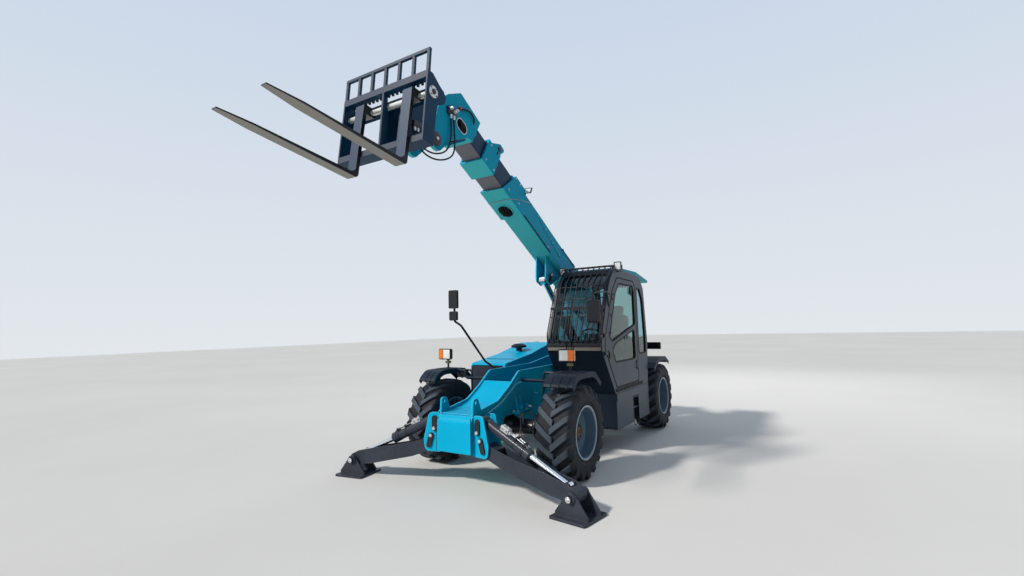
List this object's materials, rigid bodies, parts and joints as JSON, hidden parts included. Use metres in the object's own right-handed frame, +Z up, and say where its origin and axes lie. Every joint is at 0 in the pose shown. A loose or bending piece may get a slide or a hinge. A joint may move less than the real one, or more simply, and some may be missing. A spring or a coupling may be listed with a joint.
{
  "type": "telehandler",
  "caption": "Rough-terrain telehandler: three-stage telescopic boom with pallet forks, offset cab, side engine, steered wheels and front stabilisers.",
  "frame": {"origin": "on the ground, in the middle of the machine between its side extremes and between the fork tips and the tail", "axes": "+X is the left side of the machine, -Y its front, +Z up"},
  "size_m": [3.644, 8.0948, 4.7626],
  "materials": {
    "black_plastic": "moulded black plastic",
    "cab_paint": "satin grey paint",
    "cast_casing": "painted casting",
    "charcoal_paint": "satin charcoal paint",
    "chrome_rod": "polished",
    "fork_steel": "black paint worn to steel",
    "lamp_lens": "clear ribbed lens",
    "rim_paint": "grey paint",
    "seat_cover": "black cloth",
    "teal_paint": "gloss teal paint",
    "tyre_rubber": "worn rubber",
    "window_glass": "green tinted"
  },
  "bodies": {
    "chassis": {"cab_frame": "cab_paint", "cab_glass": "window_glass", "cab_interior": "seat_cover", "cab_roof": "teal_paint", "chassis_frame": "teal_paint", "counterweight": "charcoal_paint", "engine_block": "cast_casing", "engine_tray": "charcoal_paint", "front_axle": "cast_casing", "front_fenders": "black_plastic", "lamps": "lamp_lens", "mirrors": "black_plastic", "nose_box": "teal_paint", "rear_axle": "cast_casing", "rear_fenders": "black_plastic", "roof_guard": "black_plastic", "side_step": "cab_paint"},
    "cab_door": {"cab_door": "cab_paint", "door_glass": "window_glass"},
    "engine_cover": {"engine_cover": "teal_paint", "air_cleaner": "black_plastic"},
    "boom_outer": {"boom_outer": "teal_paint"},
    "boom_middle": {"boom_middle": "charcoal_paint", "boom_collar": "teal_paint"},
    "boom_inner": {"boom_inner": "charcoal_paint", "boom_head": "teal_paint"},
    "lift_barrel": {"lift_barrel": "charcoal_paint"},
    "lift_rod": {"lift_rod": "chrome_rod"},
    "tilt_barrel": {"tilt_barrel": "charcoal_paint"},
    "tilt_rod": {"tilt_rod": "chrome_rod"},
    "fork_carriage": {"fork_carriage": "charcoal_paint", "fork_shaft": "chrome_rod"},
    "fork_left": {"fork_left": "fork_steel"},
    "fork_right": {"fork_right": "fork_steel"},
    "knuckle_front_left": {"knuckle_front_left": "cast_casing"},
    "wheel_front_left": {"rim_front_left": "rim_paint", "tyre_front_left": "tyre_rubber"},
    "knuckle_rear_left": {"knuckle_rear_left": "cast_casing"},
    "wheel_rear_left": {"rim_rear_left": "rim_paint", "tyre_rear_left": "tyre_rubber"},
    "knuckle_front_right": {"knuckle_front_right": "cast_casing"},
    "wheel_front_right": {"rim_front_right": "rim_paint", "tyre_front_right": "tyre_rubber"},
    "knuckle_rear_right": {"knuckle_rear_right": "cast_casing"},
    "wheel_rear_right": {"rim_rear_right": "rim_paint", "tyre_rear_right": "tyre_rubber"},
    "stabiliser_arm_left": {"stabiliser_arm_left": "charcoal_paint"},
    "stabiliser_foot_left": {"stabiliser_foot_left": "charcoal_paint"},
    "stabiliser_barrel_left": {"stabiliser_barrel_left": "charcoal_paint"},
    "stabiliser_rod_left": {"stabiliser_rod_left": "chrome_rod"},
    "stabiliser_arm_right": {"stabiliser_arm_right": "charcoal_paint"},
    "stabiliser_foot_right": {"stabiliser_foot_right": "charcoal_paint"},
    "stabiliser_barrel_right": {"stabiliser_barrel_right": "charcoal_paint"},
    "stabiliser_rod_right": {"stabiliser_rod_right": "chrome_rod"}
  },
  "joints": [
    {"name": "steer_front_left", "type": "hinge", "parent": "chassis", "child": "knuckle_front_left", "pos_m": [0.72, -0.28, 0.575], "axis": [0, 0, 1], "range_deg": [-32, 32]},
    {"name": "spin_front_left", "type": "hinge", "parent": "knuckle_front_left", "child": "wheel_front_left", "pos_m": [1.02, -0.28, 0.575], "axis": [1, 0, 0], "continuous": true},
    {"name": "steer_rear_left", "type": "hinge", "parent": "chassis", "child": "knuckle_rear_left", "pos_m": [0.72, 3.22, 0.575], "axis": [0, 0, 1], "range_deg": [-32, 32]},
    {"name": "spin_rear_left", "type": "hinge", "parent": "knuckle_rear_left", "child": "wheel_rear_left", "pos_m": [1.02, 3.22, 0.575], "axis": [1, 0, 0], "continuous": true},
    {"name": "steer_front_right", "type": "hinge", "parent": "chassis", "child": "knuckle_front_right", "pos_m": [-0.72, -0.28, 0.575], "axis": [0, 0, 1], "range_deg": [-32, 32]},
    {"name": "spin_front_right", "type": "hinge", "parent": "knuckle_front_right", "child": "wheel_front_right", "pos_m": [-1.02, -0.28, 0.575], "axis": [1, 0, 0], "continuous": true},
    {"name": "steer_rear_right", "type": "hinge", "parent": "chassis", "child": "knuckle_rear_right", "pos_m": [-0.72, 3.22, 0.575], "axis": [0, 0, 1], "range_deg": [-32, 32]},
    {"name": "spin_rear_right", "type": "hinge", "parent": "knuckle_rear_right", "child": "wheel_rear_right", "pos_m": [-1.02, 3.22, 0.575], "axis": [1, 0, 0], "continuous": true},
    {"name": "arm_lift_left", "type": "hinge", "parent": "chassis", "child": "stabiliser_arm_left", "pos_m": [0.42, -1.185, 0.47619], "axis": [-0.1513, -0.9885, 0], "range_deg": [0, 90]},
    {"name": "foot_tilt_left", "type": "hinge", "parent": "stabiliser_arm_left", "child": "stabiliser_foot_left", "pos_m": [1.58542, -1.36333, 0.204], "axis": [-0.1513, -0.9885, 0], "range_deg": [-25, 25]},
    {"name": "ram_swing_left", "type": "hinge", "parent": "chassis", "child": "stabiliser_barrel_left", "pos_m": [0.34092, -1.1729, 0.79619], "axis": [-0.1513, -0.9885, 0], "range_deg": [-5, 100]},
    {"name": "ram_slide_left", "type": "slide", "parent": "stabiliser_barrel_left", "child": "stabiliser_rod_left", "axis": [0.9028, -0.1381, -0.4073], "range_m": [-0.49695, 0.01]},
    {"name": "arm_lift_right", "type": "hinge", "parent": "chassis", "child": "stabiliser_arm_right", "pos_m": [-0.42, -1.185, 0.47619], "axis": [-0.1513, 0.9885, 0], "range_deg": [0, 90]},
    {"name": "foot_tilt_right", "type": "hinge", "parent": "stabiliser_arm_right", "child": "stabiliser_foot_right", "pos_m": [-1.58542, -1.36333, 0.204], "axis": [-0.1513, 0.9885, 0], "range_deg": [-25, 25]},
    {"name": "ram_swing_right", "type": "hinge", "parent": "chassis", "child": "stabiliser_barrel_right", "pos_m": [-0.34092, -1.1729, 0.79619], "axis": [-0.1513, 0.9885, 0], "range_deg": [-5, 100]},
    {"name": "ram_slide_right", "type": "slide", "parent": "stabiliser_barrel_right", "child": "stabiliser_rod_right", "axis": [-0.9028, -0.1381, -0.4073], "range_m": [-0.49695, 0.01]},
    {"name": "door_swing", "type": "hinge", "parent": "chassis", "child": "cab_door", "pos_m": [1.184, 0.578, 1.6], "axis": [0, 0, -1], "range_deg": [0, 85]},
    {"name": "cover_lift", "type": "hinge", "parent": "chassis", "child": "engine_cover", "pos_m": [-0.775, 2.455, 1.566], "axis": [-1, 0, 0], "range_deg": [0, 45]},
    {"name": "boom_lift", "type": "hinge", "parent": "chassis", "child": "boom_outer", "pos_m": [0, 3.67, 1.69], "axis": [-1, 0, 0], "range_deg": [-31, 35]},
    {"name": "boom_extend_middle", "type": "slide", "parent": "boom_outer", "child": "boom_middle", "axis": [0, -0.8704, 0.4924], "range_m": [-0.2, 3]},
    {"name": "boom_extend_inner", "type": "slide", "parent": "boom_middle", "child": "boom_inner", "axis": [0, -0.8704, 0.4924], "range_m": [-0.2, 3]},
    {"name": "lift_swing", "type": "hinge", "parent": "chassis", "child": "lift_barrel", "pos_m": [0, 2.92, 0.86], "axis": [-1, 0, 0], "range_deg": [-30.76, 34.6]},
    {"name": "lift_slide", "type": "slide", "parent": "lift_barrel", "child": "lift_rod", "axis": [0, -0.7294, 0.6841], "range_m": [-0.58227, 0.65611]},
    {"name": "carriage_tilt", "type": "hinge", "parent": "boom_inner", "child": "fork_carriage", "pos_m": [0, -1.87072, 4.02052], "axis": [-1, 0, 0], "range_deg": [-75, 30]},
    {"name": "tilt_swing", "type": "hinge", "parent": "boom_inner", "child": "tilt_barrel", "pos_m": [0, -1.00152, 4.37898], "axis": [-1, 0, 0], "range_deg": [-13.75, 6.1]},
    {"name": "tilt_slide", "type": "slide", "parent": "tilt_barrel", "child": "tilt_rod", "axis": [0, -0.9999, -0.0111], "range_m": [-0.15314, 0.36786]},
    {"name": "fork_slide_left", "type": "slide", "parent": "fork_carriage", "child": "fork_left", "axis": [1, 0, 0], "range_m": [-0.2, 0.14]},
    {"name": "fork_slide_right", "type": "slide", "parent": "fork_carriage", "child": "fork_right", "axis": [1, 0, 0], "range_m": [-0.2, 0.2]}
  ],
  "couplings": [
    {"joint": "steer_front_right", "follows": "steer_front_left", "ratio": 1},
    {"joint": "steer_rear_right", "follows": "steer_rear_left", "ratio": 1},
    {"joint": "ram_swing_left", "follows": "arm_lift_left", "ratio": 1},
    {"joint": "ram_slide_left", "follows": "arm_lift_left", "m_per_rad": -0.31},
    {"joint": "ram_swing_right", "follows": "arm_lift_right", "ratio": 1},
    {"joint": "ram_slide_right", "follows": "arm_lift_right", "m_per_rad": -0.31},
    {"joint": "boom_extend_inner", "follows": "boom_extend_middle", "ratio": 1},
    {"joint": "lift_swing", "follows": "boom_lift", "ratio": 0.96},
    {"joint": "lift_slide", "follows": "boom_lift", "m_per_rad": 1.0577},
    {"joint": "tilt_swing", "follows": "carriage_tilt", "ratio": 0.17},
    {"joint": "tilt_slide", "follows": "carriage_tilt", "m_per_rad": -0.27339}
  ]
}
